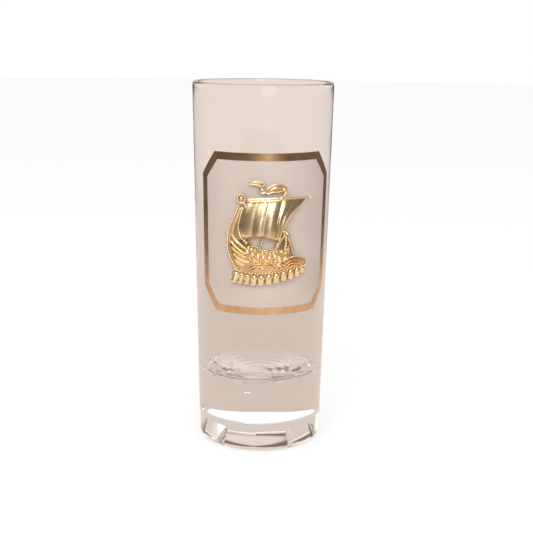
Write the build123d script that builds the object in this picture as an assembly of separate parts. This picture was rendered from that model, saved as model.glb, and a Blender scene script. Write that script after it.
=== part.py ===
# Tall shot glass with a frosted panel in a gold frame and a cast metal ship badge glued on.
# Millimetres, +Z up. The origin is on the glass's axis, on the surface that the glass stands on,
# and the panel and the badge face -Y.
import os
from math import asin, cos, degrees, hypot, sin, sqrt

from build123d import *

os.makedirs("parts", exist_ok=True)

# Glass
glass_height = 105.0
rim_radius = 20.1
foot_radius = 18.1
rim_wall = 1.4
floor_height = 17.1
floor_dish = 31.0
floor_wall = 2.4
floor_corner = 2.2
foot_round = 1.8
rim_round = 0.6

# Faceted hollow under the base
recess_facets = 10
recess_radius = 14.8
recess_top_radius = 12.4
recess_height = 5.1
recess_middle = 3.9
recess_turn = -9.0

# Frosted panel and its gold frame, both an octagon wrapped round the glass
octagon_bottom = 41.5
octagon_top = 86.7
octagon_half_width = 20.8
corner_width = 5.2
corner_height = 6.6
frame_width = 2.1
frost_thickness = 0.12
gold_thickness = 0.15

# Badge: how far each layer stands off the badge's back
sail_edge = 0.9
sail_belly = 2.6
hull_thickness = 2.2
trim_thickness = 1.7
trim_margin = 0.2

# Yard, mast and pennant
yard_middle = 3.9
yard_length = 16.2
yard_height = 74.3
mast_middle = 3.2
ribbon_width = 1.0
ball_radius = 0.55
ball_across = 12.0
ball_height = 74.4

# Shields along the hull
shield_radius = 1.0
shield_proud = 0.4
shield_count = 5
shield_spacing = 2.35
shield_height = 58.3
shield_sag = 0.04

# Bow and stern posts
bow_width = 1.9
bow_head_radius = 1.6
stern_width = 1.7
stern_curl_radius = 1.1

# Scallops along the bottom, climbing towards the bow of the waves
scallop_radius = 1.2
scallop_count = 11
scallop_reach = 9.1
scallop_height = 51.25
scallop_climb = 2.6

# Glue pads: middle across, middle height, width and height of each
glue_thickness = 0.3
glue_corner = 1.2
glue_pads = [(-1.0, 68.0, 7.0, 6.0), (-1.0, 56.0, 12.0, 3.6)]

# Length that is sure to pass right through the front of the glass
through_front = rim_radius + 8


def outer_radius(z):
    # Radius of the glass's tapered outside at a height.
    return foot_radius + (rim_radius - foot_radius) * z / glass_height


def sharpest(face, x, z):
    # The corner of a face in the XZ plane that is nearest to a point.
    return face.vertices().sort_by_distance((x, 0, z))[0]


def half_section(points):
    # Flat face on the XZ plane from points given as radius and height.
    return make_face(Plane.XZ * Polyline(*points, close=True))


def wall_radius(z):
    # Radius of the cup's inside at a height.
    foot = outer_radius(floor_height) - floor_wall
    mouth = rim_radius - rim_wall
    return foot + (mouth - foot) * (z - floor_height) / (glass_height - floor_height)


def make_glass():
    # The dished floor is part of a sphere whose lowest point is on the axis.
    dish_rise = floor_dish - sqrt(floor_dish**2 - wall_radius(floor_height) ** 2)
    dish_angle = degrees(asin(wall_radius(floor_height + dish_rise) / floor_dish))
    dish = CenterArc((0, floor_height + floor_dish), floor_dish, -90, dish_angle)
    edge = dish @ 1
    mouth_radius = wall_radius(glass_height)
    outside = Polyline(
        (edge.X, edge.Y),
        (mouth_radius, glass_height),
        (rim_radius, glass_height),
        (foot_radius, 0),
        (0, 0),
        (0, floor_height),
    )
    section = make_face(Plane.XZ * (outside + dish))
    section = fillet(sharpest(section, foot_radius, 0), foot_round)
    section = fillet(sharpest(section, edge.X, edge.Y), floor_corner)
    section = fillet(sharpest(section, mouth_radius, glass_height), rim_round)
    section = fillet(sharpest(section, rim_radius, glass_height), rim_round)
    body = revolve(section, Axis.Z)
    return body - make_recess()


def make_recess():
    # Ten steep walls, one edge near the front, under a roof that hangs down in the middle.
    turned = Rot(0, 0, recess_turn - 90)
    outline = turned * RegularPolygon(recess_radius, recess_facets)
    roof_outline = Pos(0, 0, recess_height) * turned * RegularPolygon(recess_top_radius, recess_facets)
    walls = loft([outline.face(), roof_outline.face()], ruled=True)
    roof = loft([roof_outline.face(), Vertex(0, 0, recess_middle)], ruled=True)
    return walls - roof


def wrapped_band(bottom, top, half_width, start, thickness):
    # Band that lies round the front of the glass, its back a given distance off the surface.
    section = half_section(
        [
            (outer_radius(bottom) + start, bottom),
            (outer_radius(bottom) + start + thickness, bottom),
            (outer_radius(top) + start + thickness, top),
            (outer_radius(top) + start, top),
        ]
    )
    half_angle = degrees(half_width / outer_radius((bottom + top) / 2))
    return Rot(0, 0, -90 - half_angle) * revolve(section, Axis.Z, 2 * half_angle)


def corner_cutter(inset, side, end):
    # Prism that takes one corner off the octagon, in line with that corner's own surface.
    middle_width = octagon_half_width - corner_width / 2
    surface = outer_radius(octagon_top if end > 0 else octagon_bottom)
    angle = middle_width / surface
    slope = corner_height / corner_width
    inward = inset * hypot(corner_width, corner_height) / corner_width
    edge = octagon_top if end > 0 else octagon_bottom
    reach = 1.2 * corner_width
    line_middle = edge - end * (corner_height / 2 + inward)
    across = side * reach
    outline = [
        (-across, line_middle + end * slope * reach),
        (across, line_middle - end * slope * reach),
        (across, line_middle + end * slope * reach),
    ]
    outward = Vector(side * sin(angle), -cos(angle), 0)
    sideways = Vector(cos(angle), side * sin(angle), 0)
    plane = Plane(origin=(0, 0, 0), x_dir=sideways, z_dir=outward)
    face = make_face(plane * Polyline(*outline, close=True))
    return extrude(face, amount=through_front, dir=outward)


def octagon(inset, thickness):
    bottom = octagon_bottom + inset
    top = octagon_top - inset
    patch = wrapped_band(bottom, top, octagon_half_width - inset, 0, thickness)
    for side in (-1, 1):
        for end in (-1, 1):
            patch -= corner_cutter(inset, side, end)
    return patch


def badge_back(z):
    return outer_radius(z) + frost_thickness + glue_thickness


def relief(outline, thickness, belly=0.0):
    # Raised shape: a front outline cut from a layer that follows the glass.
    # A belly makes the layer swell in the middle of its height.
    box = outline.bounding_box()
    low = box.min.Z - trim_margin
    high = box.max.Z + trim_margin
    middle = (low + high) / 2
    foot = (badge_back(low) + thickness, low)
    head = (badge_back(high) + thickness, high)
    swell = (badge_back(middle) + thickness + belly, middle)
    front = ThreePointArc(foot, swell, head) if belly else Line(foot, head)
    rest = Polyline(head, (badge_back(high), high), (badge_back(low), low), foot)
    layer = revolve(make_face(Plane.XZ * (front + rest)), Axis.Z, 180)
    prism = extrude(outline, amount=through_front, dir=(0, -1, 0))
    return prism & (Rot(0, 0, 180) * layer)


def front_face(*edges):
    return make_face(Plane.XZ * Curve(edges))


def ribbon(points, width):
    # Front outline of a bent strip of even width.
    return Plane.XZ * trace(Spline(*points), line_width=width)


def make_sail():
    left_top, left_foot = (-4.8, 73.9), (-6.7, 63.6)
    right_top, right_foot = (10.2, 74.2), (2.9, 62.3)
    outline = front_face(
        Line(left_top, right_top),
        Spline(right_top, (5.5, 69.3), right_foot),
        Spline(right_foot, (-1.9, 64.0), left_foot),
        Spline(left_foot, (-7.1, 68.8), left_top),
    )
    return relief(outline, sail_edge, sail_belly - sail_edge)


def make_rigging():
    yard_outline = Pos(yard_middle, yard_height) * Rectangle(yard_length, ribbon_width)
    yard = relief(Plane.XZ * yard_outline, trim_thickness)
    tip_angle = ball_across / badge_back(yard_height)
    tip_reach = badge_back(yard_height) + trim_thickness / 2
    tip = Pos(tip_reach * sin(tip_angle), -tip_reach * cos(tip_angle), ball_height)
    mast = relief(Plane.XZ * Pos(mast_middle, 75.6) * Rectangle(ribbon_width, 3.2), trim_thickness)
    lower_mast = relief(Plane.XZ * Pos(-2.2, 62.2) * Rectangle(ribbon_width, 6.0), sail_edge)
    flag_path = [(-4.9, 78.5), (-3.0, 79.0), (-1.2, 76.5), (1.4, 78.2), (4.4, 78.3), (3.5, 76.2)]
    flag = relief(ribbon(flag_path, ribbon_width), trim_thickness)
    return yard + tip * Sphere(ball_radius) + mast + lower_mast + flag


def make_hull():
    bow_top, stern_top = (-9.9, 64.0), (6.6, 60.6)
    outline = front_face(
        Spline(bow_top, (-5.2, 60.7), (0.4, 59.6), stern_top),
        Line(stern_top, (7.4, 56.0)),
        Line((7.4, 56.0), (-8.6, 54.0)),
        Spline((-8.6, 54.0), (-10.9, 58.6), bow_top),
    )
    hull = relief(outline, hull_thickness)
    # Round shields stand a little proud of the hull, in a row that sags in the middle.
    start = badge_back(shield_height) + hull_thickness / 2
    reach = hull_thickness / 2 + shield_proud
    for i in range(shield_count):
        across = shield_spacing * (i - (shield_count - 1) / 2)
        angle = across / badge_back(shield_height)
        outward = (sin(angle), -cos(angle), 0)
        height = shield_height + shield_sag * across**2
        foot = (start * outward[0], start * outward[1], height)
        plane = Plane(origin=foot, x_dir=(cos(angle), sin(angle), 0), z_dir=outward)
        aligned = (Align.CENTER, Align.CENTER, Align.MIN)
        hull += plane * Cylinder(shield_radius, reach, align=aligned)
    return hull


def make_posts():
    # Bow post with its curled head, and the shorter stern post.
    bow_path = [(-8.6, 55.2), (-10.4, 60.0), (-9.9, 66.0), (-7.6, 71.6), (-6.7, 73.4)]
    bow = relief(ribbon(bow_path, bow_width), trim_thickness)
    head = relief(Plane.XZ * Pos(-7.2, 74.0) * Circle(bow_head_radius), trim_thickness)
    stern_path = [(6.2, 58.4), (5.6, 61.6), (4.4, 64.6)]
    stern = relief(ribbon(stern_path, stern_width), trim_thickness)
    curl = relief(Plane.XZ * Pos(4.9, 65.0) * Circle(stern_curl_radius), trim_thickness)
    return bow + head + stern + curl


def make_sea():
    # Waves under the hull, ending below in a row of scallops.
    left, right = (-9.9, 52.3), (10.6, 55.4)
    outline = front_face(
        Spline(left, (-9.6, 54.0), (-8.4, 56.6)),
        Spline((-8.4, 56.6), (-1.0, 58.0), (6.2, 58.7), (10.6, 57.2)),
        Line((10.6, 57.2), right),
        Spline(right, (5.4, 52.8), (-3.2, 51.6), left),
    )
    sea = relief(outline, trim_thickness)
    for i in range(scallop_count):
        share = i / (scallop_count - 1)
        across = scallop_reach * (2 * share - 1)
        height = scallop_height + scallop_climb * share**2.5
        sea += relief(Plane.XZ * Pos(across, height) * Circle(scallop_radius), trim_thickness)
    return sea


def make_badge():
    return make_sail() + make_rigging() + make_hull() + make_posts() + make_sea()


def make_glue():
    # Pads that fill the gap between the panel and the badge's back.
    pads = []
    for across, height, width, tall in glue_pads:
        outline = Plane.XZ * Pos(across, height) * RectangleRounded(width, tall, glue_corner)
        band = wrapped_band(height - tall, height + tall, width, frost_thickness, glue_thickness)
        pads.append(band & extrude(outline, amount=through_front, dir=(0, -1, 0)))
    return pads[0] + pads[1]


pieces = {
    "glass_tumbler": make_glass(),
    "frosted_panel": octagon(frame_width, frost_thickness),
    "gold_border": octagon(0, gold_thickness) - octagon(frame_width, 2 * gold_thickness),
    "ship_badge": make_badge(),
    "badge_adhesive": make_glue(),
}
for name, piece in pieces.items():
    export_step(piece, f"parts/{name}.step")
    box = piece.bounding_box()
    print(name, len(piece.solids()), round(piece.volume, 2), box.min, box.max)
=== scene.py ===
from math import atan2, cos, hypot, pi, radians, sin

import bpy
from mathutils import Matrix, Vector


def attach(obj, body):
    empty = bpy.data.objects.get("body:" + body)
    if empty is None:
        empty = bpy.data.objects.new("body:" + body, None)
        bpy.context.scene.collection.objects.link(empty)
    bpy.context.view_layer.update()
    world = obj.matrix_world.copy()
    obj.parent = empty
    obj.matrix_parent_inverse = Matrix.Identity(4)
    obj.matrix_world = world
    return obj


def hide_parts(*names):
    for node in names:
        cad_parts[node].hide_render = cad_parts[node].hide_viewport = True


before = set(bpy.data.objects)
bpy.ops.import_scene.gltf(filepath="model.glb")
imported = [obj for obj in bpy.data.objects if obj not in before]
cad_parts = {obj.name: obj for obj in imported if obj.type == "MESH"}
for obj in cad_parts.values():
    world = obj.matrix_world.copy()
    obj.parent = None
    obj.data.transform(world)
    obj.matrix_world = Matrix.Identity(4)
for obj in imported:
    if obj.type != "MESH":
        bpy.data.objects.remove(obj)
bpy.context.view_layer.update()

# tall shot glass with a frosted panel, a gold frame and a cast ship badge
scene = bpy.context.scene
mm = 0.001


def deselectAll():
    if bpy.context.object and bpy.context.object.mode != "OBJECT":
        bpy.ops.object.mode_set(mode="OBJECT")
    bpy.ops.object.select_all(action="DESELECT")


def pick(piece):
    deselectAll()
    piece.select_set(True)
    bpy.context.view_layer.objects.active = piece


def newPiece(name):
    piece = bpy.context.object
    piece.name = name
    piece.data.name = name
    return piece


def editAll(piece):
    pick(piece)
    bpy.ops.object.mode_set(mode="EDIT")
    bpy.ops.mesh.select_all(action="SELECT")


def leaveEdit():
    bpy.ops.object.mode_set(mode="OBJECT")


def applyModifiers(piece):
    pick(piece)
    for modifier in list(piece.modifiers):
        bpy.ops.object.modifier_apply(modifier=modifier.name)


def turnFacesOut(piece):
    editAll(piece)
    bpy.ops.mesh.normals_make_consistent(inside=False)
    leaveEdit()


def thicken(piece, thickness, side):
    # side 1 grows outwards, side -1 inwards
    solid = piece.modifiers.new("thickness", "SOLIDIFY")
    solid.thickness = thickness
    solid.offset = side
    applyModifiers(piece)


def settle(piece):
    # place, turn and size go into the mesh
    pick(piece)
    bpy.ops.object.transform_apply(location=True, rotation=True, scale=True)


def joinAll(pieces, name):
    deselectAll()
    for piece in pieces:
        piece.select_set(True)
    bpy.context.view_layer.objects.active = pieces[0]
    if len(pieces) > 1:
        bpy.ops.object.join()
    return newPiece(name)


def smooth(piece, angle):
    pick(piece)
    bpy.ops.object.shade_smooth_by_angle(angle=radians(angle))


def finishPiece(piece, material, node):
    piece.data.materials.clear()
    piece.data.materials.append(material)
    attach(piece, "root")
    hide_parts(node)


def newMaterial(name):
    material = bpy.data.materials.new(name)
    material.use_nodes = True
    nodes = material.node_tree.nodes
    return material, nodes, material.node_tree.links, nodes["Principled BSDF"]


def addNode(nodes, kind, **values):
    # values go to sockets of that name, or else to the node's own settings
    node = nodes.new(kind)
    for key, value in values.items():
        if key in node.inputs:
            node.inputs[key].default_value = value
        else:
            setattr(node, key, value)
    return node


def ramp(nodes, stops):
    node = nodes.new("ShaderNodeValToRGB")
    elements = node.color_ramp.elements
    while len(elements) > 1:
        elements.remove(elements[-1])
    elements[0].position, elements[0].color = stops[0][0], (*stops[0][1], 1)
    for position, colour in stops[1:]:
        elements.new(position).color = (*colour, 1)
    return node


def addNoise(nodes, links, scale, detail):
    # scale is per metre of the object
    place = nodes.new("ShaderNodeTexCoord")
    texture = addNode(nodes, "ShaderNodeTexNoise", Scale=scale, Detail=detail)
    links.new(place.outputs["Object"], texture.inputs["Vector"])
    return texture


def addBump(nodes, links, shader, texture, strength, depth):
    bump = addNode(nodes, "ShaderNodeBump", Strength=strength, Distance=depth)
    links.new(texture.outputs["Fac"], bump.inputs["Height"])
    links.new(bump.outputs["Normal"], shader.inputs["Normal"])


def softStep(nodes, links, value, start, end):
    step = addNode(nodes, "ShaderNodeMapRange", interpolation_type="SMOOTHSTEP")
    step.inputs["From Min"].default_value = start
    step.inputs["From Max"].default_value = end
    links.new(value, step.inputs["Value"])
    return step.outputs["Result"]


def blend(nodes, links, share, first, second):
    # each colour is a plain one or another node's output
    mix = addNode(nodes, "ShaderNodeMix", data_type="RGBA")
    links.new(share, mix.inputs[0])
    for socket, colour in ((6, first), (7, second)):
        if isinstance(colour, tuple):
            mix.inputs[socket].default_value = (*colour, 1)
        else:
            links.new(colour, mix.inputs[socket])
    return mix.outputs[2]


# depths of grain and waves are in metres
glassFinish = {
    "tint": (0.985, 0.98, 0.972, 1),
    "index": 1.5,
    "waveScale": 55.0,
    "waveStrength": 0.35,
    "waveDepth": 0.00008,
}


def makeClearGlass():
    g = glassFinish
    material, nodes, links, shader = newMaterial("clearPressedGlass")
    shader.inputs["Base Color"].default_value = g["tint"]
    shader.inputs["Roughness"].default_value = 0.0
    shader.inputs["IOR"].default_value = g["index"]
    shader.inputs["Transmission Weight"].default_value = 1.0
    wave = addNoise(nodes, links, g["waveScale"], 1.0)
    addBump(nodes, links, shader, wave, g["waveStrength"], g["waveDepth"])
    return material


frostFinish = {
    "dark": (0.73, 0.655, 0.61),
    "light": (0.80, 0.73, 0.685),
    "roughness": 0.6,
    "index": 1.45,
    "clearness": 0.45,
    "cloudScale": 90.0,
    "grainScale": 9000.0,
    "grainStrength": 0.25,
    "grainDepth": 0.00002,
}


def makeFrostedGlass():
    f = frostFinish
    material, nodes, links, shader = newMaterial("frostedPrint")
    shader.inputs["Roughness"].default_value = f["roughness"]
    shader.inputs["IOR"].default_value = f["index"]
    shader.inputs["Transmission Weight"].default_value = f["clearness"]
    grain = addNoise(nodes, links, f["grainScale"], 3.0)
    cloud = addNoise(nodes, links, f["cloudScale"], 3.0)
    tone = ramp(nodes, [(0.3, f["dark"]), (0.7, f["light"])])
    links.new(cloud.outputs["Fac"], tone.inputs["Fac"])
    links.new(tone.outputs["Color"], shader.inputs["Base Color"])
    addBump(nodes, links, shader, grain, f["grainStrength"], f["grainDepth"])
    return material


borderFinish = {
    "name": "firedGold",
    "deep": (0.64, 0.43, 0.26),
    "bright": (0.82, 0.59, 0.38),
    "roughness": (0.14, 0.24),
    "cloudScale": 260.0,
    "grainScale": 2500.0,
    "grainStrength": 0.3,
    "grainDepth": 0.00002,
}
castFinish = {
    "name": "platedGold",
    "deep": (0.92, 0.76, 0.49),
    "bright": (1.0, 0.91, 0.67),
    "roughness": (0.14, 0.24),
    "cloudScale": 260.0,
    "grainScale": 1600.0,
    "grainStrength": 0.3,
    "grainDepth": 0.00003,
    # painted shade: the badge's low ground gets this darker colour
    "paintedRecessShade": (0.76, 0.55, 0.32),
    "paintedRecessShadeReach": (0.7, 1.0),  # mm off the badge's back
}
sailFinish = {
    "name": "brushedGold",
    "deep": (0.84, 0.65, 0.38),
    "bright": (0.96, 0.79, 0.51),
    "roughness": (0.2, 0.28),
    "cloudScale": 260.0,
    "grainScale": 2600.0,
    "grainStrength": 0.3,
    "grainDepth": 0.00003,
}


def makeGold(g):
    material, nodes, links, shader = newMaterial(g["name"])
    shader.inputs["Metallic"].default_value = 1.0
    cloud = addNoise(nodes, links, g["cloudScale"], 4.0)
    grain = addNoise(nodes, links, g["grainScale"], 3.0)
    tone = ramp(nodes, [(0.32, g["deep"]), (0.68, g["bright"])])
    rough = addNode(nodes, "ShaderNodeMapRange")
    rough.inputs["To Min"].default_value = g["roughness"][0]
    rough.inputs["To Max"].default_value = g["roughness"][1]
    links.new(cloud.outputs["Fac"], tone.inputs["Fac"])
    links.new(cloud.outputs["Fac"], rough.inputs["Value"])
    colour = tone.outputs["Color"]
    if "paintedRecessShade" in g:
        # painted shade: the low ground between raised details is coloured darker
        relief = addNode(nodes, "ShaderNodeAttribute", attribute_name="relief")
        raised = softStep(nodes, links, relief.outputs["Fac"], *g["paintedRecessShadeReach"])
        colour = blend(nodes, links, raised, g["paintedRecessShade"], colour)
    links.new(colour, shader.inputs["Base Color"])
    links.new(rough.outputs["Result"], shader.inputs["Roughness"])
    addBump(nodes, links, shader, grain, g["grainStrength"], g["grainDepth"])
    return material


glueFinish = {
    "tint": (0.9, 0.86, 0.78, 1),
    "roughness": 0.12,
    "index": 1.45,
    "clearness": 0.85,
    "bubbleScale": 900.0,
    "bubbleStrength": 0.4,
    "bubbleDepth": 0.00005,
}


def makeGlue():
    g = glueFinish
    material, nodes, links, shader = newMaterial("clearGlue")
    shader.inputs["Base Color"].default_value = g["tint"]
    shader.inputs["Roughness"].default_value = g["roughness"]
    shader.inputs["IOR"].default_value = g["index"]
    shader.inputs["Transmission Weight"].default_value = g["clearness"]
    bubbles = addNoise(nodes, links, g["bubbleScale"], 2.0)
    addBump(nodes, links, shader, bubbles, g["bubbleStrength"], g["bubbleDepth"])
    return material


clearGlass = makeClearGlass()
frostedGlass = makeFrostedGlass()
borderGold = makeGold(borderFinish)
castGold = makeGold(castFinish)
sailGold = makeGold(sailFinish)
clearGlue = makeGlue()
print("materials made")


# clear pressed glass, in mm
tumbler = {
    "height": 105.0,
    "rimRadius": 20.1,
    "footRadius": 18.1,
    "rimWall": 1.4,
    "floorHeight": 17.1,  # lowest point inside
    "floorDish": 31.0,  # radius of the dished floor
    "floorWall": 2.4,
    "floorCorner": 2.2,  # bend between floor and wall
    "cornerRise": 4.0,
    "footRound": 1.8,
    "rimRound": 0.68,
    "standingRing": 14.8,  # corners of the hollow under the base
    "ringInset": 0.6,
    "hollowFacets": 10,
    "hollowWallTop": 12.4,
    "hollowWallHeight": 5.1,
    "hollowMiddle": 3.9,
    "hollowTurn": -9.0,  # degrees
    "segments": 180,
    "wallRings": 24,
    "floorRings": 90,
    "rippleDepth": 0.024,  # faint rings pressed into the floor
    "ripplePitch": 1.7,
    "rippleFade": (1.5, 2),  # at the edge, in the middle
    "sharpAngle": 7.5,  # degrees, corners sharper than this stay crisp
}


def outerRadius(z):
    t = tumbler
    return t["footRadius"] + (t["rimRadius"] - t["footRadius"]) * z / t["height"]


def innerRadius(z):
    t = tumbler
    wallFoot = outerRadius(t["floorHeight"]) - t["floorWall"]
    mouth = t["rimRadius"] - t["rimWall"]
    share = (z - t["floorHeight"]) / (t["height"] - t["floorHeight"])
    return wallFoot + (mouth - wallFoot) * share


def arc(centreR, centreZ, radius, start, end, steps):
    points = []
    for i in range(steps + 1):
        a = radians(start + (end - start) * i / steps)
        points.append((centreR + radius * cos(a), centreZ + radius * sin(a)))
    return points


def tumblerProfile():
    # radius and height, up the outside, over the rim and down to near the middle of the floor
    t = tumbler
    foot, rim, rings = t["footRound"], t["rimRound"], t["wallRings"]
    points = [(t["standingRing"] + t["ringInset"], 0.0)]
    points += arc(outerRadius(foot) - foot, foot, foot, -90, -1, 18)
    for i in range(1, rings):
        z = foot + (t["height"] - rim - foot) * i / rings
        points.append((outerRadius(z), z))
    points += arc(t["rimRadius"] - rim, t["height"] - rim, rim, 0, 180, 26)
    # the dished floor meets the wall in a tangent bend
    bend, dish = t["floorCorner"], t["floorDish"]
    dishTop = t["floorHeight"] + dish
    bendR = innerRadius(t["floorHeight"] + t["cornerRise"]) - bend
    bendZ = dishTop - ((dish - bend) ** 2 - bendR**2) ** 0.5
    for i in range(1, rings):
        z = t["height"] - rim + (bendZ - t["height"] + rim) * i / rings
        points.append((innerRadius(z), z))
    lean = atan2(bendR, dishTop - bendZ) * 180 / pi
    points += arc(bendR, bendZ, bend, 0, lean - 90, 20)
    edge = points[-1][0]
    edgeFade, middleFade = t["rippleFade"]
    for i in range(1, t["floorRings"]):
        r = edge * (1 - i / t["floorRings"])
        fade = min(1.0, (edge - r) / edgeFade, r / middleFade)
        ripple = t["rippleDepth"] * sin(2 * pi * r / t["ripplePitch"]) * fade
        points.append((r, dishTop - (dish**2 - r * r) ** 0.5 + ripple))
    return points


def turned(name, segments, profile, turn=0):
    # rings pulled up one after another along the profile, closed at both ends
    deselectAll()
    bpy.ops.mesh.primitive_circle_add(
        vertices=segments,
        radius=profile[0][0] * mm,
        fill_type="NOTHING",
        location=(0, 0, profile[0][1] * mm),
        rotation=(0, 0, turn),
    )
    piece = newPiece(name)
    settle(piece)
    editAll(piece)
    for (lastR, lastZ), (r, z) in zip(profile, profile[1:]):
        bpy.ops.mesh.extrude_edges_move(TRANSFORM_OT_translate={"value": (0, 0, (z - lastZ) * mm)})
        bpy.ops.transform.resize(value=(r / lastR, r / lastR, 1), center_override=(0, 0, z * mm))
    bpy.ops.mesh.merge(type="CENTER")
    bpy.ops.mesh.select_all(action="SELECT")
    bpy.ops.mesh.region_to_loop()
    bpy.ops.mesh.edge_face_add()
    bpy.ops.mesh.select_all(action="SELECT")
    bpy.ops.mesh.normals_make_consistent(inside=False)
    leaveEdit()
    return piece


def makeTumbler():
    t = tumbler
    glass = turned("glassTumbler", t["segments"], tumblerProfile())
    # the faceted hollow, steep walls and a roof that hangs down in the middle
    ring, top = t["standingRing"], t["hollowWallTop"]
    below, tip = 1.0, 0.01
    flare = below * (ring - top) / t["hollowWallHeight"]
    profile = [(ring + flare, -below), (top, t["hollowWallHeight"]), (tip, t["hollowMiddle"])]
    cutter = turned("hollowCutter", t["hollowFacets"], profile, radians(t["hollowTurn"]))
    cut = glass.modifiers.new("hollow", "BOOLEAN")
    cut.object = cutter
    cut.operation = "DIFFERENCE"
    cut.solver = "EXACT"
    applyModifiers(glass)
    bpy.data.objects.remove(cutter)
    smooth(glass, t["sharpAngle"])
    finishPiece(glass, clearGlass, "glass_tumbler")


makeTumbler()
print("glass made")

# frosted panel and its gold frame, in mm, widths along the curve
octagon = {
    "bottom": 41.5,
    "top": 86.7,
    "halfWidth": 20.8,
    "cornerWidth": 5.2,
    "cornerHeight": 6.6,
    "frameWidth": 2.1,
    "frostThickness": 0.12,
    "goldThickness": 0.15,
    "cutSpacing": 0.7,
    "airGap": 0.02,  # keeps the print clear of the glass's surface
    "sharpAngle": 30,
}


def wrapOnGlass(piece, start):
    # in mm: x round the glass from the front, y the height, z the distance off the surface
    middle = outerRadius((octagon["bottom"] + octagon["top"]) / 2)
    for vertex in piece.data.vertices:
        x, y, z = vertex.co
        angle = x / middle
        radius = outerRadius(y) + start + z
        vertex.co = (radius * sin(angle) * mm, -radius * cos(angle) * mm, y * mm)
    piece.data.update()


def makeOctagonFace():
    # eight-sided face whose corners move to the panel's own
    o = octagon
    deselectAll()
    bpy.ops.mesh.primitive_circle_add(vertices=8, radius=20, fill_type="NGON", rotation=(0, 0, pi / 8))
    piece = newPiece("octagon")
    settle(piece)
    for vertex in piece.data.vertices:
        x, y, z = vertex.co
        side = 1 if x > 0 else -1
        end = 1 if y > 0 else -1
        edge = o["top"] if end > 0 else o["bottom"]
        if abs(x) > abs(y):
            vertex.co = (side * o["halfWidth"], edge - end * o["cornerHeight"], 0)
        else:
            vertex.co = (side * (o["halfWidth"] - o["cornerWidth"]), edge, 0)
    return piece


def sliceAcross(piece, low, high, spacing):
    # upright cuts, so that the flat piece can bend round the glass
    editAll(piece)
    count = int((high - low) / spacing)
    for i in range(1, count):
        bpy.ops.mesh.select_all(action="SELECT")
        bpy.ops.mesh.bisect(plane_co=(low + (high - low) * i / count, 0, 0), plane_no=(1, 0, 0))
    leaveEdit()


def thickenAndWrap(piece, thickness, start):
    thicken(piece, thickness, 1)
    wrapOnGlass(piece, start)
    turnFacesOut(piece)
    smooth(piece, octagon["sharpAngle"])


def makePanelAndFrame():
    o = octagon
    border = makeOctagonFace()
    editAll(border)
    bpy.ops.mesh.inset(thickness=o["frameWidth"], use_even_offset=True)
    bpy.ops.mesh.separate(type="SELECTED")
    leaveEdit()
    panel = [piece for piece in bpy.context.selected_objects if piece != border][0]
    border.name = "goldBorder"
    panel.name = "frostedPanel"
    for piece, thickness in ((border, o["goldThickness"]), (panel, o["frostThickness"])):
        sliceAcross(piece, -o["halfWidth"], o["halfWidth"], o["cutSpacing"])
        thickenAndWrap(piece, thickness - o["airGap"], o["airGap"])
    finishPiece(border, borderGold, "gold_border")
    finishPiece(panel, frostedGlass, "frosted_panel")


makePanelAndFrame()
print("panel and frame made")

# ship badge, laid out flat in mm: x round the glass, y height, z off the badge's back
badge = {
    "back": 0.42,  # distance off the glass
    "hullThickness": 0.75,
    "swell": 0.55,  # extra depth in the middle of the hull, as a share
    "swellHeight": 57.5,
    "swellReach": 6.5,
    "plateEdge": 0.12,
    "plateCuts": 0.9,
    "sharpAngle": 40,
}


def onPath(points, share):
    # point at a share of the way along a smooth path through all the points
    last = len(points) - 1
    place = min(max(share, 0.0), 1.0) * last
    i = min(int(place), last - 1)
    t = place - i
    p1, p2 = Vector(points[i]), Vector(points[i + 1])
    p0 = Vector(points[i - 1]) if i > 0 else 2 * p1 - p2
    p3 = Vector(points[i + 2]) if i + 2 <= last else 2 * p2 - p1
    bend = 2 * p0 - 5 * p1 + 4 * p2 - p3
    return 0.5 * (2 * p1 + (p2 - p0) * t + bend * t * t + (3 * p1 - p0 - 3 * p2 + p3) * t**3)


def drawCurve(points, closed):
    deselectAll()
    bpy.ops.curve.primitive_bezier_curve_add(location=(0, 0, 0))
    piece = bpy.context.object
    spline = piece.data.splines[0]
    spline.bezier_points.add(len(points) - 2)
    spline.use_cyclic_u = closed
    for knot, (x, y) in zip(spline.bezier_points, points):
        knot.handle_left_type = knot.handle_right_type = "AUTO"
        knot.co = (x, y, 0)
    return piece


def curveToMesh(piece):
    pick(piece)
    bpy.ops.object.convert(target="MESH")
    piece = bpy.context.object
    editAll(piece)
    bpy.ops.mesh.remove_doubles(threshold=0.002)
    bpy.ops.mesh.normals_make_consistent(inside=False)
    leaveEdit()
    return piece


def strand(points, radius, lift, flat=1.0, taper=0.0):
    # round bar along a path, thinner towards its ends by the taper
    piece = drawCurve(points, False)
    last = len(points) - 1
    for i, knot in enumerate(piece.data.splines[0].bezier_points):
        knot.radius = 1 - taper * abs(2 * i / last - 1)
    piece.data.dimensions = "3D"
    piece.data.bevel_depth = radius
    piece.data.bevel_resolution = 3
    piece.data.resolution_u = 8
    piece.data.use_fill_caps = True
    piece = curveToMesh(piece)
    piece.scale = (1, 1, flat)
    piece.location = (0, 0, lift)
    settle(piece)
    return piece


def plate(points, thickness):
    # filled outline with a rounded edge
    piece = drawCurve(points, True)
    edge = badge["plateEdge"]
    piece.data.dimensions = "2D"
    piece.data.fill_mode = "BOTH"
    piece.data.extrude = thickness / 2 - edge
    piece.data.bevel_depth = edge
    piece.data.bevel_resolution = 2
    piece.data.offset = -edge
    piece.data.resolution_u = 8
    piece = curveToMesh(piece)
    piece.location = (0, 0, thickness / 2)
    settle(piece)
    low = min(x for x, y in points)
    high = max(x for x, y in points)
    sliceAcross(piece, low, high, badge["plateCuts"])
    return piece


def makeBead():
    deselectAll()
    bpy.ops.mesh.primitive_uv_sphere_add(segments=14, ring_count=9, radius=1)
    return newPiece("bead")


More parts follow.
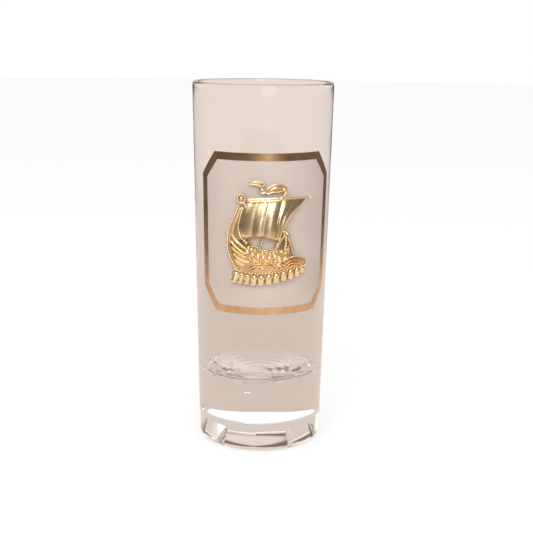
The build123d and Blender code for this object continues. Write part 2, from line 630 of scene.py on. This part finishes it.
def setBeads(places):
    # every place: x, y, z, half width, half height, half depth, turn in degrees
    bead = makeBead()
    beads = []
    for x, y, z, wide, tall, deep, turn in places:
        copy = bead.copy()
        copy.data = bead.data.copy()
        scene.collection.objects.link(copy)
        copy.location = (x, y, z)
        copy.scale = (wide, tall, deep)
        copy.rotation_euler = (0, 0, radians(turn))
        beads.append(copy)
    bpy.data.objects.remove(bead)
    deselectAll()
    for copy in beads:
        copy.select_set(True)
    bpy.context.view_layer.objects.active = beads[0]
    bpy.ops.object.transform_apply(location=True, rotation=True, scale=True)
    return joinAll(beads, "beads")


def beadRow(points, radius, spacing, lift):
    length = sum((Vector(b) - Vector(a)).length for a, b in zip(points, points[1:]))
    count = max(2, round(length / spacing) + 1)
    places = []
    for i in range(count):
        spot = onPath(points, i / (count - 1))
        places.append((spot.x, spot.y, lift, radius, radius, radius, 0))
    return setBeads(places)


def castPiece(parts, name, swell, material=castGold):
    # joins the parts, swells them out with the hull and bends them round the glass
    piece = joinAll(parts, name)
    b = badge
    # height off the badge's back, which the cast gold reads for its painted shade
    relief = piece.data.attributes.new("relief", "FLOAT", "POINT")
    for vertex in piece.data.vertices:
        x, y, z = vertex.co
        relief.data[vertex.index].value = z
        reach = hypot(x / 2, y - b["swellHeight"]) / b["swellReach"]
        vertex.co.z = z * (1 + swell * max(0.0, 1 - reach * reach))
    wrapOnGlass(piece, b["back"])
    smooth(piece, b["sharpAngle"])
    finishPiece(piece, material, "ship_badge")


sail = {
    "rails": [
        [(-4.8, 73.9), (-6.6, 71.6), (-7.1, 69.0), (-7.2, 66.2), (-6.7, 63.5)],
        [(-2.3, 74.2), (-3.1, 71.0), (-3.6, 68.3), (-3.9, 65.9), (-4.0, 63.6)],
        [(0.5, 74.4), (-0.3, 71.4), (-0.9, 68.6), (-1.2, 66.0), (-1.4, 63.8)],
        [(3.6, 74.4), (2.9, 71.6), (2.2, 68.8), (1.8, 65.6), (1.4, 62.8)],
        [(6.7, 74.4), (5.2, 72.2), (3.9, 69.4), (2.9, 66.2), (2.3, 62.6)],
        [(10.3, 74.2), (7.5, 71.4), (5.4, 68.9), (3.9, 65.9), (2.8, 62.2)],
    ],
    "columns": 60,
    "rows": 36,
    "edgeLift": 0.5,
    "belly": 1.7,
    "fullest": 0.92,  # share of the way down
    "upperCurve": 2.0,
    "lowerCurve": 1.6,
    "sideFill": 0.1,
    "panelBulge": 0.29,  # between two ribs
    "panelFlat": 0.35,  # share of that bulge left at head and foot
    "thickness": 0.45,
}


def makeSail():
    s = sail
    deselectAll()
    bpy.ops.mesh.primitive_grid_add(x_subdivisions=s["columns"], y_subdivisions=s["rows"], size=2)
    piece = newPiece("sail")
    widths = len(s["rails"]) - 1
    for vertex in piece.data.vertices:
        across = (vertex.co.x + 1) / 2
        down = (1 - vertex.co.y) / 2
        lane = min(int(across * widths), widths - 1)
        share = across * widths - lane
        left, right = onPath(s["rails"][lane], down), onPath(s["rails"][lane + 1], down)
        spot = left.lerp(right, share)
        # fullest low down, so most of the sail leans back a little
        if down < s["fullest"]:
            fill = 1 - ((s["fullest"] - down) / s["fullest"]) ** s["upperCurve"]
        else:
            fill = 1 - ((down - s["fullest"]) / (1 - s["fullest"])) ** s["lowerCurve"]
        middle = sin(pi * (s["sideFill"] + (1 - 2 * s["sideFill"]) * across)) ** 0.5
        bulge = s["panelBulge"] * sin(pi * share) * (s["panelFlat"] + (1 - s["panelFlat"]) * fill)
        vertex.co = (spot.x, spot.y, s["edgeLift"] + s["belly"] * fill * middle + bulge)
    thicken(piece, s["thickness"], -1)
    turnFacesOut(piece)
    castPiece([piece], "sail", 0, sailGold)


rigging = {
    "yardRadius": 0.42,
    "boomRadius": 0.26,
    "tipRadius": 0.42,
    "mastRadius": 0.36,
    "lift": 1.15,
}


def makeRigging():
    r = rigging
    lift = r["lift"]
    parts = [
        strand([(-4.9, 74.3), (-1.2, 74.6), (3.0, 74.75)], r["yardRadius"], lift + 0.2),
        strand([(-4.6, 73.75), (-1.2, 74.0), (2.6, 74.15)], r["boomRadius"], lift + 0.55),
        strand([(2.6, 74.75), (7.0, 74.75), (11.5, 74.5)], r["boomRadius"], lift),
        strand([(3.2, 74.2), (3.7, 75.3), (4.3, 76.5)], r["mastRadius"], lift),
        strand([(-1.4, 63.4), (-2.0, 61.8), (-2.7, 59.8)], r["mastRadius"] * 0.8, 0.7),
        beadRow([(3.1, 74.6), (3.8, 75.5), (4.4, 76.6)], 0.3, 0.55, lift + 0.35),
        setBeads([
            (11.5, 74.5, lift, r["tipRadius"], r["tipRadius"], r["tipRadius"], 0),
            (-5.0, 74.2, lift + 0.2, 0.5, 0.5, 0.5, 0),
            (3.1, 74.7, lift + 0.4, 0.6, 0.55, 0.5, 0),
        ]),
    ]
    castPiece(parts, "rigging", 0)


# two curled leaves of the flag at the masthead
pennant = {
    "left": [
        (-4.9, 78.6), (-4.2, 79.05), (-3.2, 79.3), (-2.0, 79.1),
        (-1.1, 78.4), (-2.1, 77.9), (-3.0, 78.3), (-4.1, 78.35),
    ],
    "right": [
        (-0.9, 76.1), (-0.6, 77.0), (0.5, 77.8), (2.0, 78.4), (3.5, 78.2), (4.6, 77.4),
        (4.4, 76.5), (3.4, 76.5), (2.3, 76.3), (1.0, 76.25), (0.0, 75.95),
    ],
    "curl": [(-1.3, 78.5), (-1.9, 77.6), (-2.2, 76.8), (-1.7, 76.1), (-0.9, 76.3), (-0.6, 77.0)],
    "leafThickness": 0.75,
    "leafRim": 0.2,
}


def makePennant():
    p = pennant
    thickness = p["leafThickness"]
    leaves = (p["left"], p["right"])
    parts = [plate(outline, thickness) for outline in leaves]
    for outline in leaves:
        parts.append(strand(outline + outline[:1], p["leafRim"], thickness, flat=0.9))
    parts.append(strand(p["curl"], 0.42, 0.8, taper=0.3))
    parts.append(strand([(-4.4, 78.75), (-3.2, 78.95), (-2.2, 78.7)], 0.22, 0.85, taper=0.5))
    parts.append(strand([(0.4, 76.9), (1.8, 77.5), (3.4, 77.4)], 0.34, 0.85, taper=0.6))
    parts.append(setBeads([(4.0, 77.0, 1.0, 0.55, 0.55, 0.5, 0), (-1.6, 76.9, 0.95, 0.4, 0.4, 0.4, 0)]))
    castPiece(parts, "pennant", 0)


# the outline runs down the bow post, along the keel, up the stern, over the deck and up the post's inside
hull = {
    "outer": [
        (-7.6, 72.2), (-8.4, 70.5), (-9.1, 69.0), (-10.0, 66.9), (-10.5, 64.9), (-10.8, 62.9),
        (-10.8, 60.9), (-10.3, 59.0), (-9.6, 57.4), (-8.9, 56.0), (-8.0, 54.7),
    ],
    "keel": [(-6.7, 53.9), (-3.8, 53.5), (-0.7, 53.4), (2.2, 53.8), (4.9, 54.4), (8.3, 54.9), (10.3, 55.1)],
    "stern": [
        (10.7, 56.1), (10.2, 57.1), (8.8, 57.9), (7.0, 58.3), (6.6, 60.4), (6.0, 62.2),
        (5.5, 63.6), (5.4, 64.7), (4.6, 65.2), (3.9, 64.6), (3.4, 63.4),
    ],
    "deck": [
        (2.6, 62.6), (1.8, 61.4), (1.1, 60.1), (-0.2, 60.3),
        (-1.9, 60.6), (-3.1, 61.3), (-4.3, 61.6), (-4.7, 62.4),
    ],
    "inner": [(-5.2, 63.6), (-7.0, 64.3), (-7.7, 66.8), (-7.4, 68.5), (-7.0, 70.2), (-6.7, 71.8)],
    "strakes": [
        [(-9.6, 64.4), (-8.5, 62.7), (-7.1, 61.4), (-5.5, 60.4)],
        [(-9.8, 62.5), (-8.7, 61.0), (-7.3, 59.9), (-5.9, 59.1)],
        [(-9.7, 60.7), (-8.5, 59.5), (-7.1, 58.7), (-5.8, 58.1)],
        [(-9.2, 58.9), (-8.0, 57.8), (-6.5, 57.1), (-4.6, 56.6)],
        [(-8.8, 57.1), (-7.6, 56.3), (-6.2, 55.8)],
    ],
    "strakeRadius": 0.36,
}


def makeHull():
    h = hull
    lift = badge["hullThickness"]
    parts = [plate(h["outer"] + h["keel"] + h["stern"] + h["deck"] + h["inner"], lift)]
    for path in h["strakes"]:
        parts.append(strand(path, h["strakeRadius"], lift + 0.15, flat=1.2, taper=0.45))
    castPiece(parts, "hull", badge["swell"])


# three bead rows on the bow post, and a round head with a beaded edge and a jaw
bow = {
    "beadRadius": 0.31,
    "beadSpacing": 0.7,
    "middle": [(-9.4, 64.9), (-9.0, 66.5), (-8.3, 68.5), (-7.7, 70.2), (-7.2, 71.7)],
    "head": (-7.0, 74.35),
    "headSize": (1.2, 1.35),
    "headBeadsSize": (1.05, 1.2),
    "jaw": [(-7.2, 73.2), (-6.5, 73.0), (-5.9, 72.3), (-5.8, 71.2), (-5.9, 70.3)],
    "jawBeads": [(-6.2, 73.2), (-5.8, 72.4), (-5.7, 71.4), (-5.8, 70.3)],
}


def ovalPoints(centre, size, end):
    # clockwise from the top, every 30 degrees
    turns = [radians(a) for a in range(0, end, 30)]
    return [(centre[0] + size[0] * sin(a), centre[1] + size[1] * cos(a)) for a in turns]


def makeBow():
    b = bow
    outer = hull["outer"]
    lift = badge["hullThickness"]
    inner = [(-5.6, 62.3), (-6.9, 63.6), (-7.5, 65.0)] + hull["inner"][2:]
    parts = [
        beadRow(outer, b["beadRadius"], b["beadSpacing"], lift + 0.2),
        strand([(x + 0.62, y + 0.1) for x, y in outer], 0.17, lift + 0.1),
        beadRow(inner, 0.33, 0.7, lift + 0.2),
        beadRow(b["middle"], 0.24, 0.55, lift + 0.15),
        plate(ovalPoints(b["head"], b["headSize"], 360), lift),
        beadRow(ovalPoints(b["head"], b["headBeadsSize"], 331), 0.3, 0.62, lift + 0.1),
        beadRow(b["jawBeads"], 0.33, 0.55, 0.7),
        strand(b["jaw"], 0.42, 0.45),
        setBeads([(-7.0, 74.5, lift + 0.1, 0.5, 0.6, 0.45, 0), (-7.1, 73.4, lift, 0.35, 0.35, 0.35, 0)]),
    ]
    castPiece(parts, "bow", badge["swell"])


# round shields along the rail, plain beads above them and below them
crew = {
    "shields": [(-5.3, 59.9), (-3.9, 59.2), (-2.5, 58.6), (-1.1, 58.3), (0.4, 58.2), (1.8, 58.6)],
    "heads": [
        (-5.0, 60.9), (-4.2, 60.5), (-3.3, 60.2), (-1.4, 59.7),
        (-0.5, 59.4), (0.5, 59.1), (1.4, 59.4), (2.3, 60.0),
    ],
    "low": [(-4.6, 58.2), (-3.4, 57.8), (-1.9, 57.4), (-0.5, 57.6), (0.9, 57.3), (2.0, 57.4)],
    "shieldRadius": 0.66,
    "bossRadius": 0.26,
    "oarRadius": 0.16,
}


def makeCrew():
    c = crew
    lift = badge["hullThickness"]
    places = []
    for x, y in c["shields"]:
        places.append((x, y, lift + 0.15, c["shieldRadius"], c["shieldRadius"], 0.4, 0))
        places.append((x, y, lift + 0.5, c["bossRadius"], c["bossRadius"], 0.22, 0))
    for i, (x, y) in enumerate(c["heads"]):
        places.append((x, y, lift + 0.1, 0.36, 0.46, 0.4, 25 - 12 * i))
    for i, (x, y) in enumerate(c["low"]):
        places.append((x, y, lift + 0.05, 0.42, 0.3, 0.36, -20 + 15 * i))
    places.append((3.0, 57.8, lift + 0.25, 0.85, 0.85, 0.6, 0))
    parts = [setBeads(places)]
    for x, y in c["shields"]:
        oar = [(x + 0.6, y + 0.5), (x + 0.1, y - 1.0), (x - 0.5, y - 2.2)]
        parts.append(strand(oar, c["oarRadius"], lift + 0.15, taper=0.3))
    castPiece(parts, "crewAndShields", badge["swell"])


stern = {
    "post": [
        (6.8, 58.9), (6.5, 60.7), (6.0, 62.2), (5.5, 63.6),
        (5.6, 64.6), (5.0, 65.3), (4.2, 65.3), (4.0, 64.7),
    ],
    "postRadius": 0.34,
    "innerRow": [(1.6, 60.1), (2.3, 61.2), (2.9, 62.3), (3.6, 63.4), (4.2, 64.2)],
    "outerRow": [(4.4, 60.2), (4.7, 61.4), (4.8, 62.6), (4.8, 63.8)],
    "ribs": 3,
    "ribSpacing": 0.55,
    "ribRadius": 0.2,
}


def makeStern():
    s = stern
    lift = badge["hullThickness"]
    parts = [
        strand(s["post"], s["postRadius"], lift, taper=0.2),
        beadRow(s["innerRow"], 0.36, 0.68, lift + 0.1),
        beadRow(s["outerRow"], 0.3, 0.52, lift),
        setBeads([(4.9, 64.8, lift, 0.5, 0.45, 0.4, 0), (3.5, 59.9, lift, 0.5, 0.4, 0.4, 20)]),
    ]
    for i in range(s["ribs"]):
        step = s["ribSpacing"] * i
        rib = [(3.9 + step, 58.9), (4.9 + step * 0.7, 60.0), (5.6 + step * 0.4, 61.6)]
        parts.append(strand(rib, s["ribRadius"], lift, taper=0.4))
    castPiece(parts, "stern", badge["swell"])


sea = {
    "waves": [
        [(-6.0, 54.9), (-5.1, 56.2), (-3.8, 56.9), (-2.3, 57.1), (-1.1, 56.6)],
        [(-5.5, 54.4), (-4.3, 55.5), (-2.9, 56.0), (-1.5, 56.0)],
        [(-4.7, 54.1), (-3.8, 54.8), (-2.5, 55.2), (-1.2, 55.1)],
        [(-0.9, 56.8), (0.4, 57.0), (1.6, 56.4), (2.1, 55.4)],
        [(-0.6, 55.9), (0.3, 56.1), (1.1, 55.6), (1.4, 54.8)],
        [(2.0, 54.9), (3.0, 56.1), (4.3, 56.3), (5.0, 55.5)],
        [(2.9, 54.8), (3.6, 55.4), (4.3, 55.3)],
        [(3.9, 57.4), (5.3, 58.1), (7.0, 58.3), (8.8, 57.9), (10.3, 57.0), (10.7, 56.1)],
        [(4.7, 56.9), (6.5, 57.4), (8.2, 57.1), (9.8, 56.3)],
        [(5.1, 56.1), (6.5, 56.6), (8.1, 56.3), (9.3, 55.5)],
        [(5.6, 55.5), (6.7, 55.8), (7.8, 55.5)],
    ],
    "waveRadius": 0.27,
    "foam": [
        (-8.6, 54.7), (-6.7, 54.2), (-3.8, 53.9), (-0.7, 53.8),
        (2.2, 54.1), (4.9, 54.7), (8.3, 55.2), (10.5, 55.4),
    ],
    "foamRadius": 0.33,
    "foamSpacing": 0.78,
}


def makeSea():
    lift = badge["hullThickness"]
    parts = [strand(path, sea["waveRadius"], lift + 0.3, flat=1.6, taper=0.4) for path in sea["waves"]]
    parts.append(beadRow(sea["foam"], sea["foamRadius"], sea["foamSpacing"], lift + 0.15))
    castPiece(parts, "waves", badge["swell"])


# rounded scallops hanging under the waves
scallops = {
    "headLine": [
        (-8.6, 53.9), (-6.4, 53.5), (-3.9, 53.2), (-1.1, 53.2),
        (1.9, 53.6), (4.9, 54.2), (7.8, 54.8), (10.2, 55.5),
    ],
    "footLine": [
        (-9.8, 50.8), (-7.2, 50.6), (-4.4, 50.3), (-1.3, 50.3),
        (1.8, 50.7), (4.8, 51.5), (7.8, 52.2), (10.4, 53.5),
    ],
    "count": 11,
    "width": 0.88,
    "depth": 0.8,
    "lift": 0.55,
    "ribLift": 0.95,
}


def makeScallops():
    s = scallops
    wide, lift = s["width"], s["lift"]
    base = [(x, y + 0.7) for x, y in s["headLine"]]
    base += [(x * 0.97, y + 1.4) for x, y in reversed(s["footLine"])]
    parts = [plate(base, lift)]
    places = []
    for i in range(s["count"]):
        share = (i + 0.3) / (s["count"] - 0.4)
        foot, head = onPath(s["footLine"], share), onPath(s["headLine"], share)
        middle = (foot + head) / 2
        lean = -atan2(head.x - foot.x, head.y - foot.y) * 180 / pi
        tall = (head - foot).length / 2 + 0.2
        turn = radians(lean)
        reach = Vector((-sin(turn), cos(turn))) * (tall - wide)
        bar = [tuple(middle - reach), tuple(middle), tuple(middle + reach)]
        parts.append(strand(bar, wide, lift, flat=s["depth"]))
        for x, y in (bar[0], bar[2]):
            places.append((x, y, lift, wide, wide, wide * s["depth"], 0))
        places.append((middle.x, middle.y + 0.1, s["ribLift"], wide * 0.3, tall * 0.62, 0.4, lean))
    parts.append(setBeads(places))
    castPiece(parts, "scallops", badge["swell"])


makeSail()
makeRigging()
makePennant()
makeHull()
makeBow()
makeCrew()
makeStern()
makeSea()
makeScallops()
print("ship badge made")

# the two pads of glue keep their shape and get this material
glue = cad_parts["badge_adhesive"]
glue.data.materials.clear()
glue.data.materials.append(clearGlue)

# the table is white to the camera and warm through the glass, with painted shade and a painted pool of
# light on it; colours, and reaches in metres
table = {
    "radius": 2.5,
    "drop": 0.00005,
    "paint": (0.9, 0.9, 0.9, 1),
    "whiteShare": 0.6,
    "warm": (0.86, 0.75, 0.68),
    # painted shade: seen through the glass, the table is darker near the glass and fades to warm far from
    # it
    "near": (0.64, 0.54, 0.475),
    "nearReach": (0.5, 0.5),
    "nearBlend": (0.15, 1.0),
    # painted contact shadow: a dark ring at the glass's foot, seen through the glass
    "paintedContactShadow": (0.15, 0.115, 0.09),
    "paintedContactShadowReach": (0.0165, 0.0165),
    "paintedContactShadowBlend": (0.95, 1.05),
    # painted shade under the base, paler than the painted contact shadow round it and set a little off the
    # middle
    "under": (0.78, 0.68, 0.62),
    "underReach": (0.0075, 0.0115),
    "underMiddle": (-0.0012, 0.0035),
    "underBlend": (0.8, 1.1),
    # painted pool of light on the table round the glass, with painted dark beyond it; the gold and the
    # glass mirror it
    "paintedLightPool": (0.95, 0.76, 0.64),
    "far": (0.17, 0.15, 0.145),
    "paintedLightPoolReach": (0.2, 0.6),
    "paintedLightPoolBlend": (0.6, 1.5),
}


def ovalZone(nodes, links, place, name, middle=(0, 0)):
    # 0 inside an oval about the glass, 1 outside it
    across, along = table[name + "Reach"]
    oval = addNode(nodes, "ShaderNodeMapping")
    oval.inputs["Scale"].default_value = (1 / across, 1 / along, 1)
    oval.inputs["Location"].default_value = (-middle[0] / across, -middle[1] / along, 0)
    size = addNode(nodes, "ShaderNodeVectorMath", operation="LENGTH")
    links.new(place, oval.inputs["Vector"])
    links.new(oval.outputs["Vector"], size.inputs[0])
    return softStep(nodes, links, size.outputs["Value"], *table[name + "Blend"])


def makeFloor():
    t = table
    deselectAll()
    bpy.ops.mesh.primitive_circle_add(
        vertices=96,
        radius=t["radius"],
        fill_type="NGON",
        location=(0, 0, -t["drop"]),
    )
    floor = newPiece("floor")
    settle(floor)
    material, nodes, links, shader = newMaterial("paleTable")
    shader.inputs["Base Color"].default_value = t["paint"]
    shader.inputs["Roughness"].default_value = 0.9
    shader.inputs["Specular IOR Level"].default_value = 0.0
    output = nodes["Material Output"]
    path = nodes.new("ShaderNodeLightPath")
    place = nodes.new("ShaderNodeTexCoord").outputs["Object"]
    nearZone = ovalZone(nodes, links, place, "near")
    paintedContactShadowZone = ovalZone(nodes, links, place, "paintedContactShadow")
    underZone = ovalZone(nodes, links, place, "under", t["underMiddle"])
    paintedLightPoolZone = ovalZone(nodes, links, place, "paintedLightPool")
    # through the glass: painted shade near the glass, a painted contact shadow and painted shade under the
    # base
    through = blend(nodes, links, nearZone, t["near"], t["warm"])
    through = blend(nodes, links, paintedContactShadowZone, t["paintedContactShadow"], through)
    through = blend(nodes, links, underZone, t["under"], through)
    # in reflections the table shows the painted pool of light
    paintedLightPool = blend(nodes, links, paintedLightPoolZone, t["paintedLightPool"], t["far"])
    tone = blend(nodes, links, path.outputs["Is Transmission Ray"], paintedLightPool, through)
    # to every ray but the camera's the table glows with these painted tones
    warm = addNode(nodes, "ShaderNodeEmission", Strength=1.0)
    links.new(tone, warm.inputs["Color"])
    white = addNode(nodes, "ShaderNodeEmission", Color=(1, 1, 1, 1), Strength=1.0)
    seen = addNode(nodes, "ShaderNodeMixShader", Fac=t["whiteShare"])
    pickSide = nodes.new("ShaderNodeMixShader")
    links.new(shader.outputs["BSDF"], seen.inputs[1])
    links.new(white.outputs["Emission"], seen.inputs[2])
    links.new(path.outputs["Is Camera Ray"], pickSide.inputs["Fac"])
    links.new(warm.outputs["Emission"], pickSide.inputs[1])
    links.new(seen.outputs["Shader"], pickSide.inputs[2])
    links.new(pickSide.outputs["Shader"], output.inputs["Surface"])
    floor.data.materials.append(material)


# the room is white to the camera, warm in the gold and through the glass
studio = {
    "room": (0.22, 0.185, 0.16),
    "behind": (0.93, 0.82, 0.745),
    "backFade": (0.0, 0.6),
    "above": (0.9, 0.82, 0.74),
    "ceilingFade": (0.5, 0.9),
    "through": (0.68, 0.6, 0.545),
    "glow": (1.3, 1.28, 1.25),  # bright band that the base's hollow mirrors
    "glowSide": (0.4, 0.5),
    "glowStart": (0.36, 0.45),
    "high": (0.74, 0.66, 0.6),
    "glowEnd": (0.7, 0.75),
}


def makeWorld():
    s = studio
    world = bpy.data.worlds.new("studio")
    scene.world = world
    world.use_nodes = True
    nodes, links = world.node_tree.nodes, world.node_tree.links
    nodes.clear()
    output = nodes.new("ShaderNodeOutputWorld")
    path = nodes.new("ShaderNodeLightPath")
    place = nodes.new("ShaderNodeTexCoord")
    split = nodes.new("ShaderNodeSeparateXYZ")
    links.new(place.outputs["Generated"], split.inputs["Vector"])

    def fade(axis, name, first, second):
        step = softStep(nodes, links, split.outputs[axis], *s[name])
        return blend(nodes, links, step, first, second)

    room = fade("Y", "backFade", s["room"], s["behind"])
    room = fade("Z", "ceilingFade", room, s["above"])
    glow = fade("Z", "glowStart", s["through"], s["glow"])
    glow = fade("Y", "glowSide", s["through"], glow)
    high = fade("Z", "glowEnd", glow, s["high"])
    seen = blend(nodes, links, path.outputs["Is Transmission Ray"], room, high)
    direct = addNode(nodes, "ShaderNodeMath", operation="MAXIMUM")
    links.new(path.outputs["Is Camera Ray"], direct.inputs[0])
    links.new(path.outputs["Is Diffuse Ray"], direct.inputs[1])
    light = nodes.new("ShaderNodeBackground")
    tone = blend(nodes, links, direct.outputs["Value"], seen, (1.0, 1.0, 1.0))
    links.new(tone, light.inputs["Color"])
    links.new(light.outputs["Background"], output.inputs["Surface"])


# places and sizes in metres, power in watts; through says if the lamp shows through the glass
lamps = {
    "softboxAbove": {
        "place": (-0.12, -0.5, 0.46),
        "target": (0, 0, 0.06),
        "size": (0.6, 0.36),
        "power": 2.7,
        "colour": (1.0, 0.97, 0.92),
        "shape": "RECTANGLE",
        "through": False,
    },
    "flash": {
        "place": (0.01, -0.3, 0.165),
        "target": (0, 0, 0.07),
        "size": (0.02, 0.014),
        "power": 0.05,
        "colour": (1, 1, 1),
        "shape": "RECTANGLE",
        "through": True,
    },
    "rimLight": {
        "place": (0.019, -0.3, 0.096),
        "target": (0, 0, 0.1),
        "size": (0.12, 0.024),
        "power": 0.012,
        "colour": (1, 1, 1),
        "shape": "ELLIPSE",
        "through": False,
    },
    "rimGlow": {
        "place": (0.019, -0.3, 0.077),
        "target": (0, 0, 0.1),
        "size": (0.12, 0.06),
        "power": 0.006,
        "colour": (1, 1, 1),
        "shape": "ELLIPSE",
        "through": False,
    },
}


def addLamp(name, values):
    deselectAll()
    bpy.ops.object.light_add(type="AREA", location=values["place"])
    lamp = bpy.context.object
    lamp.name = name
    lamp.data.shape = values["shape"]
    lamp.data.size, lamp.data.size_y = values["size"]
    lamp.data.energy = values["power"]
    lamp.data.color = values["colour"]
    lamp.visible_transmission = values["through"]
    aim = Vector(values["target"]) - Vector(values["place"])
    lamp.rotation_euler = aim.to_track_quat("-Z", "Y").to_euler()


# the camera looks down a little; mm and degrees, the shift is a share of the picture
view = {
    "distance": 288.0,
    "height": 117.5,
    "turn": -5.0,
    "pitch": 13.0,
    "roll": 0.68,
    "focal": 67.5422,
    "sensor": 36,
    "shift": 0.01,
}


def makeCamera():
    deselectAll()
    turn, distance = radians(view["turn"]), view["distance"]
    place = (distance * sin(turn) * mm, -distance * cos(turn) * mm, view["height"] * mm)
    bpy.ops.object.camera_add(location=place)
    camera = bpy.context.object
    aim = Matrix.Rotation(turn, 4, "Z") @ Matrix.Rotation(radians(90 - view["pitch"]), 4, "X")
    aim = aim @ Matrix.Rotation(radians(view["roll"]), 4, "Z")
    camera.matrix_world = Matrix.Translation(place) @ aim
    camera.data.lens = view["focal"]
    camera.data.sensor_width = view["sensor"]
    camera.data.shift_x = view["shift"]
    camera.data.clip_start = 0.01
    scene.camera = camera


makeFloor()
makeWorld()
makeCamera()
for name, values in lamps.items():
    addLamp(name, values)
scene.view_settings.view_transform = "Standard"
scene.view_settings.look = "None"
bounces = 48
scene.cycles.max_bounces = bounces
scene.cycles.transmission_bounces = bounces
scene.cycles.glossy_bounces = bounces
scene.cycles.transparent_max_bounces = 16
print("stage, lights and camera made")
